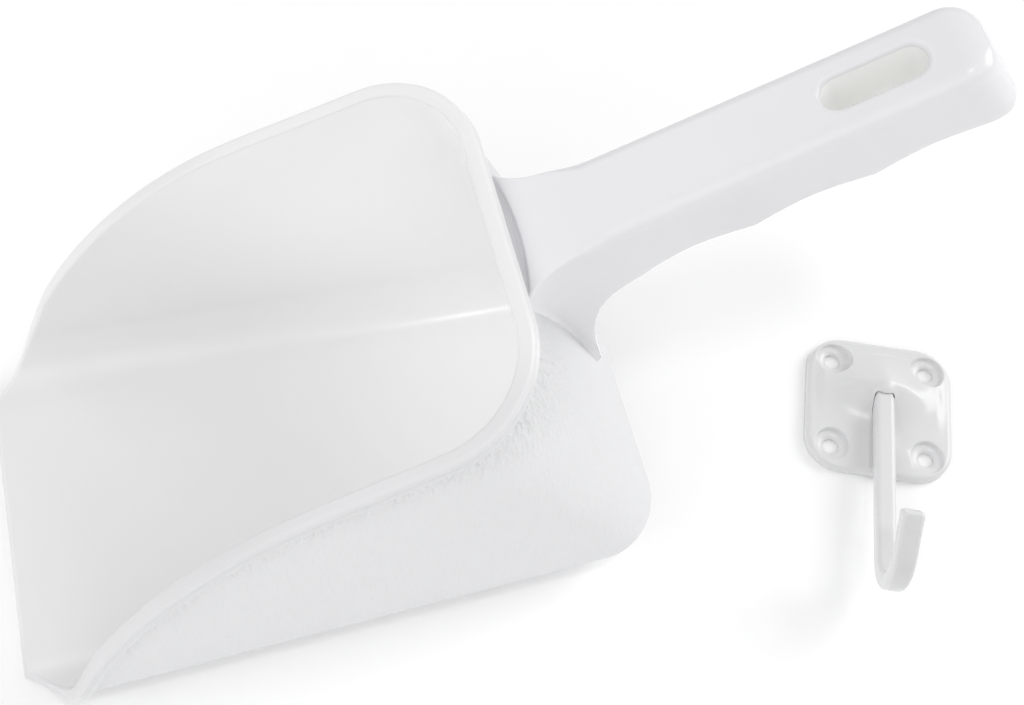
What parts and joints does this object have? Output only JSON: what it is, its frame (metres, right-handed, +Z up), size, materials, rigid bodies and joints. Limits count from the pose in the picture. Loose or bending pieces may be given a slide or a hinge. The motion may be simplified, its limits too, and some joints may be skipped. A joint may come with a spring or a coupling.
{
  "type": "feed scoop",
  "caption": "White moulded plastic feed scoop with a deep flat-floored bowl, a hollow grip with finger ridges and a hanging slot, and a separate screw-on wall hook",
  "frame": {"origin": "on the resting plane, under the bowl, 100 mm behind the front lip and midway across the floor", "axes": "+X runs from the lip towards the handle end, +Y across the bowl to the left seen from behind the handle, +Z up from the floor the scoop stands on"},
  "size_m": [0.3285, 0.156, 0.184],
  "materials": {
    "bowl_plastic": "satin to glossy moulded white plastic, fine grain outside",
    "handle_plastic": "satin moulded white plastic",
    "hook_plastic": "satin moulded white plastic"
  },
  "bodies": {
    "scoop": {"scoop_bowl": "bowl_plastic", "handle_shell": "handle_plastic", "handle_grip_cover": "handle_plastic"},
    "wall_hook": {"hook_plate": "hook_plastic", "hook_arm": "hook_plastic"}
  },
  "joints": [
    {"name": "hook_slide", "type": "slide", "parent": "scoop", "child": "wall_hook", "axis": [1, 0, 0], "range_m": [0, 0.2]}
  ]
}
